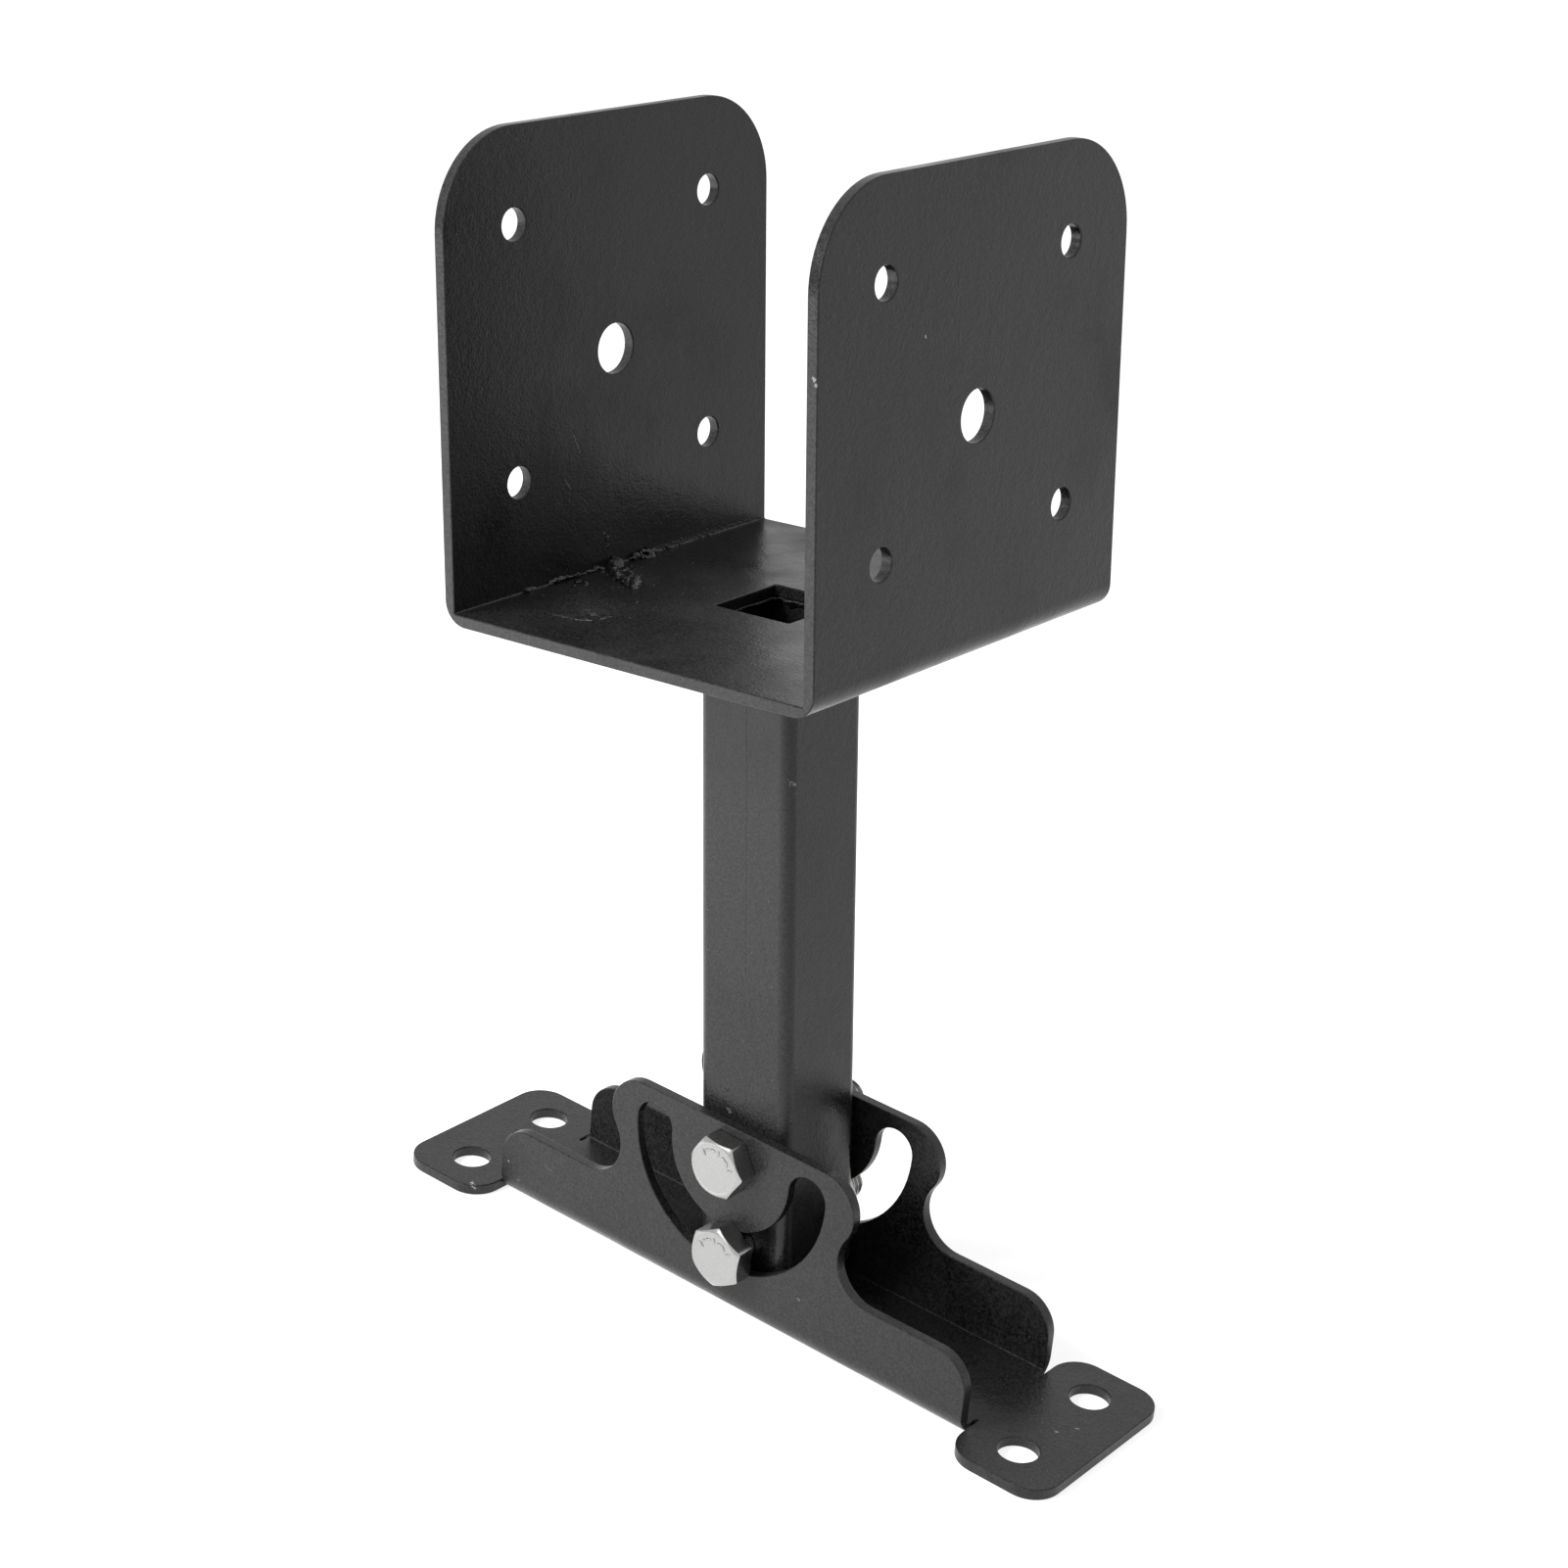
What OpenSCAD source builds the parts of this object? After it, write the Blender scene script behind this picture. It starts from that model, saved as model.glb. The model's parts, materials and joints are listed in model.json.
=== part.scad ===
// Adjustable riser bracket for a roof beam.
// A folded base channel holds a square tube between two slotted ears. The tube turns about a pivot bolt, and a
// clamp bolt in the half-circle slots locks its angle. A folded U saddle on top of the tube takes the beam.
// X runs along the base, Y along the bolts, Z up. The origin is on the underside, midway between the foot holes.

/* [Sheet] */
// Thickness of the folded sheets
sheet_t = 2.6; // [2:0.1:4]
// Inner radius of the folds, tight because the sheets are grooved before folding
fold_in = 0.4; // [0.2:0.1:0.9]

/* [Base channel] */
// Length of the two flanges
flange_l = 134.6; // [120:0.2:180]
// Height of the low shoulders of the flanges
shoulder_h = 18.7; // [16:0.1:20]
// Corner radius at the shoulders' ends
shoulder_r = 8; // [4:0.5:8.5]
// Outer radius of the channel's two folds
channel_out = 5.4; // [5:0.1:7]
// Radius of the hollow between shoulder and ear
valley_r = 9; // [6:0.5:10]
// Corner radius of the ears
ear_r = 8.6; // [6:0.1:10]
// Ear material above the pivot's centre
ear_over = 8.4; // [8:0.1:14]
// Ear material beside the slot
ear_rim = 7.85; // [6:0.05:12]

/* [Feet] */
// Length of each foot along the base
foot_l = 25; // [22:0.5:40]
// Width of each foot
foot_w = 48; // [44:0.5:70]
// Corner radius of the feet
foot_r = 7; // [3:0.5:8]
// Gap cut between a flange's end and the foot
relief_gap = 0.7; // [0.5:0.1:2]
// Diameter of the foot holes
foot_hole_d = 9; // [6:0.5:10]
// Distance from a foot's end to its holes
foot_hole_end = 13; // [9:0.5:15]
// Spacing of the two holes across a foot
foot_hole_gap = 26.6; // [24:0.2:30]

/* [Hinge] */
// Height of the pivot above the underside
pivot_h = 38; // [37:0.5:50]
// Distance from the pivot to the clamp bolt
clamp_r = 21.75; // [18:0.25:23]
// Clearance of the clamp bolt in its slot, each side
slot_play = 1; // [0.5:0.1:1.5]
// Radial clearance of the turning tube on the pivot bolt
pivot_play = 0.1; // [0.05:0.01:0.2]
// Gap between the tube and each ear
side_gap = 1.5; // [0.5:0.1:3]
// Gap between the turning tube's end and the base plate
swing_gap = 2; // [1:0.1:4]
// Lean of the tube from upright, towards -X
lean = 5.4; // [-80:0.1:80]

/* [Riser tube] */
// Outside width of the square tube
tube_w = 25; // [22:0.5:30]
// Wall of the tube
tube_wall = 2; // [1.5:0.1:3]
// Outer corner radius of the tube
tube_r = 2.8; // [2:0.1:4]
// Height of the saddle's underside above the pivot
riser_h = 120.3; // [115:0.1:300]

/* [Saddle] */
// Width of the beam that fits between the walls
beam_w = 92; // [80:1:160]
// Depth of the saddle along the beam
saddle_d = 100; // [90:1:160]
// Height of the saddle over its underside
saddle_h = 100; // [90:1:160]
// Radius of the walls' top corners
wall_r = 20; // [5:1:30]
// Outer radius of the saddle's two folds
saddle_out = 5.2; // [5:0.1:7]
// Diameter of the small holes in the walls
screw_d = 6.8; // [4:0.1:9]
// Distance of the small holes from the side edges and from the top
screw_inset = 20; // [10:0.5:25]
// Height of the lower small holes over the underside
screw_low = 26.5; // [16:0.5:36]
// Diameter of the large hole in the middle of each wall
beam_bolt_d = 10.8; // [8:0.1:14]
// Lip between the tube's bore and the window in the floor
window_lip = 0.5; // [0.2:0.1:2]

/* [Weld] */
// Leg of the fillet round the top of the tube
weld_leg = 2.4; // [1:0.1:4]
// Leg of the bead inside the top of the tube
inner_leg = 1.6; // [0.8:0.1:2.5]

/* [Bolts and nuts] */
// Thread diameter
bolt_d = 8; // [6:0.5:9]
// Width of the heads across flats
head_af = 13; // [12:0.5:15]
// Height of the heads
head_h = 5.3; // [4:0.1:7]
// Width of the nuts across flats
nut_af = 13; // [12:0.5:15]
// Height of the thin nuts
nut_h = 4; // [3:0.1:6.5]
// Thread standing out past the nuts
thread_out = 6.8; // [2:0.1:12]
// Turn of the pivot bolt's head
pivot_turn = -1.5; // [-30:0.5:30]
// Turn of the clamp bolt's head
clamp_turn = 22.5; // [-30:0.5:30]

/* [Hidden] */
$fn = 96;
eps = 1;
powder_black = [0.09, 0.09, 0.095];
bare_zinc = [0.78, 0.78, 0.78];
channel_w = tube_w + 2 * (side_gap + sheet_t);
foot_x = flange_l / 2 + relief_gap;
base_l = 2 * (foot_x + foot_l);
foot_hole_x = base_l / 2 - foot_hole_end;
slot_w = bolt_d + 2 * slot_play;
ear_top = pivot_h + ear_over;
ear_x = clamp_r + slot_w / 2 + ear_rim - ear_r;
ear_z = ear_top - ear_r;
valley_z = shoulder_h + valley_r;
valley_x = ear_x + sqrt(pow(ear_r + valley_r, 2) - pow(ear_z - valley_z, 2));
tail = sqrt(pow(pivot_h - sheet_t - swing_gap, 2) - pow(tube_w / 2, 2));
tube_bore = tube_w - 2 * tube_wall;
tube_bore_r = max(tube_r - tube_wall, 0.3);
window_w = tube_bore - 2 * window_lip;
saddle_x = beam_w / 2 + sheet_t;
screw_y = saddle_d / 2 - screw_inset;
screw_high = saddle_h - screw_inset;
shank_l = channel_w + nut_h + thread_out;
shank_bevel = bolt_d * 0.13;
thread_play = 0.05;

// Flat shape with its four corners rounded, centred on the origin.
module rounded_rect(size, r) {
    square([size.x - 2 * r, size.y], center = true);
    square([size.x, size.y - 2 * r], center = true);
    for (x = [-1, 1], y = [-1, 1])
        translate([x * (size.x / 2 - r), y * (size.y / 2 - r)]) circle(r);
}

// Fold of a sheet along X, from the -Z side to the +Y side: a wide outer radius round a tight inner one.
module fold(outer, length) {
    inside = outer - sheet_t;
    rotate([90, 0, 90])
        linear_extrude(length, center = true)
            difference() {
                intersection() {
                    circle(outer);
                    translate([0, -outer]) square(outer);
                }
                translate([-eps, -inside]) square([inside - fold_in + eps, inside + eps]);
                translate([-eps, fold_in - inside]) square([inside + eps, inside - fold_in + eps]);
                translate([inside - fold_in, fold_in - inside]) circle(fold_in);
            }
}

// Outline of one flange, X to the right and Z up: two low shoulders and a raised ear with hollows beside it.
module flange_outline() {
    difference() {
        union() {
            translate([-flange_l / 2, channel_out]) square([flange_l, shoulder_h - shoulder_r - channel_out]);
            translate([shoulder_r - flange_l / 2, channel_out])
                square([flange_l - 2 * shoulder_r, shoulder_h - channel_out]);
            for (s = [-1, 1]) {
                translate([s * (flange_l / 2 - shoulder_r), shoulder_h - shoulder_r])
                    intersection() {
                        circle(shoulder_r);
                        translate([-shoulder_r, 0]) square(2 * shoulder_r);
                    }
                translate([s * ear_x, ear_z]) circle(ear_r);
            }
            translate([-ear_x, channel_out]) square([2 * ear_x, ear_top - channel_out]);
            polygon([[-ear_x, ear_z], [ear_x, ear_z], [valley_x, valley_z], [valley_x, channel_out],
                     [-valley_x, channel_out], [-valley_x, valley_z]]);
        }
        for (s = [-1, 1])
            translate([s * valley_x, valley_z]) circle(valley_r);
        translate([0, pivot_h]) slot_outline();
        translate([0, pivot_h]) circle(bolt_d / 2 + pivot_play);
    }
}

// Half-circle slot below the pivot, with round ends level with it.
module slot_outline() {
    difference() {
        circle(clamp_r + slot_w / 2);
        circle(clamp_r - slot_w / 2);
        translate([-clamp_r - slot_w, 0]) square([2 * (clamp_r + slot_w), clamp_r + slot_w]);
    }
    for (s = [-1, 1])
        translate([s * clamp_r, 0]) circle(slot_w / 2);
}

module base_channel() {
    color(powder_black) {
        difference() {
            union() {
                linear_extrude(sheet_t) {
                    square([2 * (foot_x + foot_r), channel_w - 2 * channel_out], center = true);
                    for (s = [-1, 1])
                        translate([s * (foot_x + foot_l / 2), 0]) rounded_rect([foot_l, foot_w], foot_r);
                }
                for (s = [0, 180])
                    rotate([0, 0, s]) {
                        translate([0, channel_w / 2 - channel_out, channel_out]) fold(channel_out, flange_l);
                        translate([0, channel_w / 2, 0]) rotate([90, 0, 0]) linear_extrude(sheet_t) flange_outline();
                    }
            }
            for (x = [-1, 1], y = [-1, 1])
                translate([x * foot_hole_x, y * foot_hole_gap / 2, -eps]) cylinder(d = foot_hole_d, h = sheet_t + 2 * eps);
        }
    }
}

// Places what turns with the tube. Its own origin is the pivot, with the tube's axis along Z.
module on_riser() {
    translate([0, 0, pivot_h]) rotate([0, -lean, 0]) children();
}

module riser_tube() {
    color(powder_black)
        on_riser()
            difference() {
                translate([0, 0, -tail])
                    linear_extrude(tail + riser_h)
                        difference() {
                            rounded_rect([tube_w, tube_w], tube_r);
                            rounded_rect([tube_bore, tube_bore], tube_bore_r);
                        }
                for (z = [0, -clamp_r])
                    translate([0, 0, z])
                        rotate([90, 0, 0])
                            cylinder(r = bolt_d / 2 + pivot_play, h = tube_w + 2 * eps, center = true);
            }
}

// Outline of one saddle wall above its fold: Y to the right and Z up, with its holes.
module wall_outline() {
    difference() {
        union() {
            translate([-saddle_d / 2, saddle_out]) square([saddle_d, saddle_h - wall_r - saddle_out]);
            translate([wall_r - saddle_d / 2, saddle_out]) square([saddle_d - 2 * wall_r, saddle_h - saddle_out]);
            for (s = [-1, 1])
                translate([s * (saddle_d / 2 - wall_r), saddle_h - wall_r]) circle(wall_r);
        }
        for (y = [-1, 1], z = [screw_low, screw_high])
            translate([y * screw_y, z]) circle(d = screw_d);
        translate([0, saddle_h / 2]) circle(d = beam_bolt_d);
    }
}

module saddle() {
    color(powder_black)
        on_riser()
            translate([0, 0, riser_h]) {
                linear_extrude(sheet_t)
                    difference() {
                        square([2 * (saddle_x - saddle_out), saddle_d], center = true);
                        square(window_w, center = true);
                    }
                for (s = [0, 180])
                    rotate([0, 0, s]) {
                        translate([saddle_x - saddle_out, 0, saddle_out]) rotate([0, 0, -90]) fold(saddle_out, saddle_d);
                        translate([saddle_x - sheet_t, 0, 0])
                            rotate([90, 0, 90])
                                linear_extrude(sheet_t) wall_outline();
                    }
            }
}

// Ring of weld round a square of the given width and corner radius, its profile drawn outwards from the square.
module weld_ring(width, r) {
    for (q = [0 : 3])
        rotate([0, 0, 90 * q]) {
            translate([width / 2, 0, 0])
                rotate([90, 0, 0])
                    linear_extrude(width - 2 * r, center = true) children();
            translate([width / 2 - r, width / 2 - r, 0])
                rotate_extrude(angle = 90)
                    translate([r, 0]) children();
        }
}

// Fillet outside, between the tube and the saddle's underside.
module outer_weld() {
    color(powder_black)
        on_riser()
            translate([0, 0, riser_h])
                weld_ring(tube_w, tube_r)
                    polygon([[0, 0], [weld_leg, 0], [weld_leg * 0.45, -weld_leg * 0.6], [0, -weld_leg]]);
}

// Bead inside, between the tube's bore and the edge of the window.
module inner_weld() {
    color(powder_black)
        on_riser()
            translate([0, 0, riser_h - inner_leg])
                linear_extrude(inner_leg)
                    difference() {
                        rounded_rect([tube_bore, tube_bore], tube_bore_r);
                        square(tube_bore - 2 * inner_leg, center = true);
                    }
}

// Hex prism along +Z with its corners bevelled at the top, its first corner on +X.
module hex_body(af, h) {
    intersection() {
        cylinder(d = af / cos(30), h = h, $fn = 6);
        rotate_extrude()
            polygon([[0, 0], [af * 0.6, 0], [af * 0.6, h - (af * 0.6 - af * 0.475) * tan(30)], [af * 0.475, h], [0, h]]);
    }
}

// Hex bolt with its head towards -Y and the head's underside at the origin.
module hex_bolt(turn) {
    rotate([90, 0, 0]) rotate([0, 0, turn]) hex_body(head_af, head_h);
    rotate([-90, 0, 0]) {
        cylinder(d = bolt_d, h = shank_l - shank_bevel);
        translate([0, 0, shank_l - shank_bevel])
            cylinder(d1 = bolt_d, d2 = bolt_d - 2 * shank_bevel, h = shank_bevel);
    }
}

// Thin hex nut with its seat at the origin, standing towards +Y.
module thin_nut() {
    rotate([-90, 0, 0])
        difference() {
            hex_body(nut_af, nut_h);
            translate([0, 0, -eps]) cylinder(d = bolt_d + 2 * thread_play, h = nut_h + 2 * eps);
        }
}

module pivot_bolt() {
    color(bare_zinc) translate([0, -channel_w / 2, pivot_h]) hex_bolt(pivot_turn);
}

module pivot_nut() {
    color(bare_zinc) translate([0, channel_w / 2, pivot_h]) thin_nut();
}

module clamp_bolt() {
    color(bare_zinc) on_riser() translate([0, -channel_w / 2, -clamp_r]) hex_bolt(clamp_turn);
}

module clamp_nut() {
    color(bare_zinc) on_riser() translate([0, channel_w / 2, -clamp_r]) thin_nut();
}

base_channel();
riser_tube();
saddle();
outer_weld();
inner_weld();
pivot_bolt();
pivot_nut();
clamp_bolt();
clamp_nut();
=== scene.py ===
"""Looks for the roof riser bracket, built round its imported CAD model.

The folded sheets and the tube are the CAD's own solids, with broken edges and a powder coat. The bolts, nuts,
welds and weld spatter are made here with their real surfaces: threads, chamfers, ripples and drops.

Sizes are in millimetres and MM turns them into the frame's metres. What turns with the tube is built in the
riser's own axes, whose origin is the pivot and whose Z runs up the tube.
"""

from __future__ import annotations

import json
import logging
import math
import random
from dataclasses import dataclass, field
from enum import Enum
from typing import Callable, Sequence

import bpy
from mathutils import Matrix, Vector, noise

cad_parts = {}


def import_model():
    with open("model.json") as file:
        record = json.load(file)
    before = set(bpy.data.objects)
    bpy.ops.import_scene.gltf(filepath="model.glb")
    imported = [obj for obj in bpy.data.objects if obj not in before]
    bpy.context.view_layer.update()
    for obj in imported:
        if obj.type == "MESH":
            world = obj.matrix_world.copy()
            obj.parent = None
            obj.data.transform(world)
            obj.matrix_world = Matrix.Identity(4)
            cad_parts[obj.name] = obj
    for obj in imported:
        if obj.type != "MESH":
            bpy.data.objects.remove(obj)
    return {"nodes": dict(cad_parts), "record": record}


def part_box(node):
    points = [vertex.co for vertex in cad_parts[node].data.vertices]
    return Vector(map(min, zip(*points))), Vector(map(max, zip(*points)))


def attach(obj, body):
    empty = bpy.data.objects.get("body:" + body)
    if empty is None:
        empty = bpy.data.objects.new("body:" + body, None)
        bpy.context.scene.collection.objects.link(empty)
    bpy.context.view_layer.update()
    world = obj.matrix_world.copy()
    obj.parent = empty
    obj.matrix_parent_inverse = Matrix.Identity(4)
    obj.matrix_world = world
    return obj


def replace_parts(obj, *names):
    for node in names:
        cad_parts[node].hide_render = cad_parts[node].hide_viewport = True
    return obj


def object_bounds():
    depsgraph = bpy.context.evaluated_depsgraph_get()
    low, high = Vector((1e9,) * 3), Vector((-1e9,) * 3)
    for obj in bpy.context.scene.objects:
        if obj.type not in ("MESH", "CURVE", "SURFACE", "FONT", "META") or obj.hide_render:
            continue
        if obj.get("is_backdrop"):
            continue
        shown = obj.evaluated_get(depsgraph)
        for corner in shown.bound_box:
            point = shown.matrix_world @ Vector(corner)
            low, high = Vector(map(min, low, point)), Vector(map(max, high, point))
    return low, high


log = logging.getLogger("riser_bracket")

Point = tuple[float, float, float]
Pair = tuple[float, float]
Node = bpy.types.Node
Socket = bpy.types.NodeSocket
Material = bpy.types.Material
Object = bpy.types.Object

# One millimetre in metres, and a full turn in radians
MM = 0.001
FULL_TURN = 2.0 * math.pi
# Z of the clamp bolt, in the riser's own axes
CLAMP_HEIGHT = -21.75
# How far heads and nuts stand off the ears, so that no two faces lie in one plane
SEAT_RELIEF = 0.02
# Z of the saddle's floor and X of its left wall's inner and right wall's outer face, in the riser's own axes
FLOOR, LEFT, RIGHT = 122.9, -46.0, 48.6
# Spacing and radius of the raised nibs in a coat, the lighter grey painted on them as glints off the grain,
# and how far that colour goes there
SPECK_SPACING, SPECK_RADIUS, SPECK_GLINT_TONE, SPECK_GLINT_STRENGTH = 2.6, 0.26, 0.12, 0.6


class Body(Enum):
    """The two rigid bodies of the bracket."""

    BASE = "base"
    RISER = "riser"


class Slot(Enum):
    """The record's material slots."""

    COAT = "black_coat"
    ZINC = "bright_zinc"


@dataclass(frozen=True)
class Riser:
    """Where the riser's own axes stand in the frame at rest.

    Attributes:
        pivot_height: Height of the pivot above the base's underside, in millimetres.
        lean: Lean of the tube from upright towards -X, in degrees.
    """

    pivot_height: float
    lean: float

    @classmethod
    def from_record(cls, record: dict) -> Riser:
        """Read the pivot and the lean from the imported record.

        Args:
            record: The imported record, with the tilt joint and the saddle's floor mount.

        Returns:
            The riser's axes.
        """
        joint = record["behaviour"]["joints"][0]
        axis = next(mount["axis"] for mount in record["mounts"] if mount["name"] == "saddle_floor")
        return cls(joint["pos_m"][2] / MM, math.degrees(math.atan2(-axis[0], axis[2])))

    @property
    def matrix(self) -> Matrix:
        """Matrix from the riser's own axes to the frame, both in millimetres."""
        turn = Matrix.Rotation(math.radians(-self.lean), 4, "Y")
        return Matrix.Translation((0.0, 0.0, self.pivot_height)) @ turn


def grey(tone: float) -> tuple[float, float, float, float]:
    """Make a grey of one tone, with full alpha."""
    return (tone, tone, tone, 1.0)


class Graph:
    """A node tree with short calls that add nodes and link them."""

    # Places of the factor and the two colours among a Mix node's inputs, and of the colour among its outputs
    MIX_INPUTS = (0, 6, 7)
    MIX_OUTPUT = 2

    def __init__(self, tree: bpy.types.NodeTree) -> None:
        """Keep the tree and start it empty."""
        self.tree = tree
        tree.nodes.clear()

    def add(self, kind: str, settings: dict | None = None, *values: object, **inputs: object) -> Node:
        """Add one node.

        Args:
            kind: The node's type name, without its ShaderNode start.
            settings: Properties of the node, such as its operation.
            *values: Socket values or sockets for its inputs in order.
            **inputs: Socket values or sockets by input name, with underscores for spaces.

        Returns:
            The new node.
        """
        made = self.tree.nodes.new(kind if kind.startswith("NodeGroup") else "ShaderNode" + kind)
        for name, value in (settings or {}).items():
            setattr(made, name, value)
        for socket, value in zip(made.inputs, values):
            self.feed(socket, value)
        for name, value in inputs.items():
            self.feed(made.inputs[name.replace("_", " ")], value)
        return made

    def feed(self, socket: Socket, value: object) -> None:
        """Link a socket to another one, or set its value.

        Args:
            socket: The input to feed.
            value: An output to link it to, or the value itself.
        """
        if isinstance(value, bpy.types.NodeSocket):
            self.tree.links.new(value, socket)
        else:
            socket.default_value = value

    def group(self, tree: bpy.types.NodeTree, **inputs: object) -> Node:
        """Add a node group with its inputs by name, and return its node."""
        return self.add("Group", {"node_tree": tree}, **inputs)

    def math(self, operation: str, *values: object, clamp: bool = False) -> Socket:
        """Add a Math node with its inputs in order, and return its result, kept from 0 to 1 if asked."""
        return self.add("Math", {"operation": operation, "use_clamp": clamp}, *values).outputs[0]

    def vector(self, operation: str, *values: object, **inputs: object) -> Node:
        """Add a Vector Math node with its inputs in order or by name, and return the node."""
        return self.add("VectorMath", {"operation": operation}, *values, **inputs)

    def noise(self, vector: object, scale: object, detail: float = 2.0, rough: float = 0.5) -> Socket:
        """Add a noise texture and return its value, which lies round one half."""
        return self.add("TexNoise", Vector=vector, Scale=scale, Detail=detail, Roughness=rough).outputs[0]

    def span(self, *values: object) -> Socket:
        """Map a value smoothly: it, its low and high end and what each becomes are given in order."""
        return self.add("MapRange", {"interpolation_type": "SMOOTHSTEP"}, *values).outputs[0]

    def mix(self, *values: object) -> Socket:
        """Mix two colours.

        Args:
            *values: The factor and the two colours, in order.

        Returns:
            The mixed colour.
        """
        made = self.add("Mix", {"data_type": "RGBA"})
        for index, value in zip(self.MIX_INPUTS, values):
            self.feed(made.inputs[index], value)
        return made.outputs[self.MIX_OUTPUT]


def make_group(
    name: str, inputs: dict[str, str], outputs: dict[str, str]
) -> tuple[Graph, dict[str, Socket], Node]:
    """Start a shader node group.

    Args:
        name: The group's name.
        inputs: The kind of each input by its name: Float, Vector or Color.
        outputs: The kind of each output by its name.

    Returns:
        The group's graph, its inputs by name and its output node.
    """
    tree = bpy.data.node_groups.new(name, "ShaderNodeTree")
    for way, sockets in (("INPUT", inputs), ("OUTPUT", outputs)):
        for title, kind in sockets.items():
            tree.interface.new_socket(title, in_out=way, socket_type="NodeSocket" + kind)
    graph = Graph(tree)
    source = graph.add("NodeGroupInput")
    sink = graph.add("NodeGroupOutput")
    return graph, {socket.name: socket for socket in source.outputs if socket.name}, sink


class Effects:
    """The surface effects that several finishes share, each as one node group."""

    def __init__(self) -> None:
        """Build the groups once."""
        self.grain = self._grain()
        self.specks = self._specks()
        self.stroke = self._stroke()

    @staticmethod
    def _grain() -> bpy.types.NodeTree:
        """Build the fine pebbled grain of a baked or plated finish.

        Returns:
            A group that puts out a colour, a roughness and a height in millimetres.
        """
        numbers = dict.fromkeys(("Grain", "Depth", "Roughness", "Mottle"), "Float")
        kinds = {"Vector": "Vector", "Colour": "Color"} | numbers
        results = {"Colour": "Color", "Roughness": "Float", "Height": "Float"}
        graph, use, sink = make_group("fine_grain", kinds, results)
        broad_scale, broad_share, cloud_scale, fine_share = 0.3, 0.8, 38.0, 3.0
        scale = graph.math("DIVIDE", 1.0 / MM, use["Grain"])
        fine = graph.noise(use["Vector"], scale, 2.0, 0.6)
        broad = graph.noise(use["Vector"], graph.math("MULTIPLY", scale, broad_scale), 1.0)
        cloud = graph.noise(use["Vector"], cloud_scale, 3.0, 0.6)
        height = graph.math("MULTIPLY_ADD", broad, broad_share, fine)
        graph.feed(sink.inputs["Height"], graph.math("MULTIPLY", height, use["Depth"]))
        both = graph.math("MULTIPLY_ADD", fine, fine_share, cloud)
        swing = graph.math("SUBTRACT", both, (fine_share + 1.0) / 2.0)
        gain = graph.math("MULTIPLY_ADD", swing, graph.math("MULTIPLY", use["Mottle"], 2.0), 1.0)
        graph.feed(sink.inputs["Colour"], graph.vector("SCALE", use["Colour"], Scale=gain).outputs[0])
        drift = graph.math("SUBTRACT", cloud, 0.5)
        rough = graph.math("MULTIPLY_ADD", drift, use["Mottle"], use["Roughness"])
        graph.feed(sink.inputs["Roughness"], rough)
        return graph.tree

    @staticmethod
    def _specks() -> bpy.types.NodeTree:
        """Build sparse round specks: raised nibs in a coat, which a finish also paints lighter as glints.

        Returns:
            A group that puts out a mask of the specks.
        """
        kinds = {"Vector": "Vector", "Spacing": "Float", "Radius": "Float", "Share": "Float"}
        graph, use, sink = make_group("baked_specks", kinds, {"Mask": "Float"})
        scale = graph.math("DIVIDE", 1.0 / MM, use["Spacing"])
        cells = graph.add("TexVoronoi", {"feature": "F1"}, Vector=use["Vector"], Scale=scale)
        away = graph.math("MULTIPLY", cells.outputs["Distance"], use["Spacing"])
        dome = graph.math("SUBTRACT", 1.0, graph.math("DIVIDE", away, use["Radius"]), clamp=True)
        pick = graph.add("SeparateColor", Color=cells.outputs["Color"])
        chosen = graph.math("LESS_THAN", pick.outputs[0], use["Share"])
        graph.feed(sink.inputs["Mask"], graph.math("MULTIPLY", dome, chosen))
        return graph.tree

    @staticmethod
    def _stroke() -> bpy.types.NodeTree:
        """Build a mark along a straight line between two points, such as a scratch, a seam or a chip.

        Returns:
            A group that puts out a mask with ragged edges.
        """
        kinds = dict.fromkeys(("Vector", "Start", "End"), "Vector") | {"Width": "Float", "Ragged": "Float"}
        graph, use, sink = make_group("line_mark", kinds, {"Mask": "Float"})
        fray_scale, fray_reach, core_share, shortest = 1500.0, 4.0, 0.4, 1e-12
        run = graph.vector("SUBTRACT", use["End"], use["Start"]).outputs[0]
        gone = graph.vector("SUBTRACT", use["Vector"], use["Start"]).outputs[0]
        along = graph.vector("DOT_PRODUCT", gone, run).outputs["Value"]
        whole = graph.math("MAXIMUM", graph.vector("DOT_PRODUCT", run, run).outputs["Value"], shortest)
        foot = graph.vector("SCALE", run, Scale=graph.math("DIVIDE", along, whole, clamp=True)).outputs[0]
        away = graph.math("DIVIDE", graph.vector("DISTANCE", gone, foot).outputs["Value"], MM)
        shake = graph.math("SUBTRACT", graph.noise(use["Vector"], fray_scale), 0.5)
        swing = graph.math("MULTIPLY", shake, use["Ragged"])
        fray = graph.math("MULTIPLY", swing, graph.math("MULTIPLY", use["Width"], fray_reach))
        half = graph.math("MULTIPLY", use["Width"], 0.5)
        core = graph.math("MULTIPLY", half, core_share)
        graph.feed(sink.inputs["Mask"], graph.span(graph.math("ADD", away, fray), core, half, 1.0, 0.0))
        return graph.tree


@dataclass(frozen=True)
class Mark:
    """One line mark in a finish, in the millimetres of the body's own axes.

    Attributes:
        start: One end of the mark.
        end: Its other end.
        width: Full width.
        tone: Grey that the colour goes to.
        strength: How far the colour goes there.
        depth: Height of the mark, negative for a groove.
        ragged: How much its edges wander, as a share of the width.
    """

    start: Point
    end: Point
    width: float
    tone: float
    strength: float
    depth: float
    ragged: float


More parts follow.
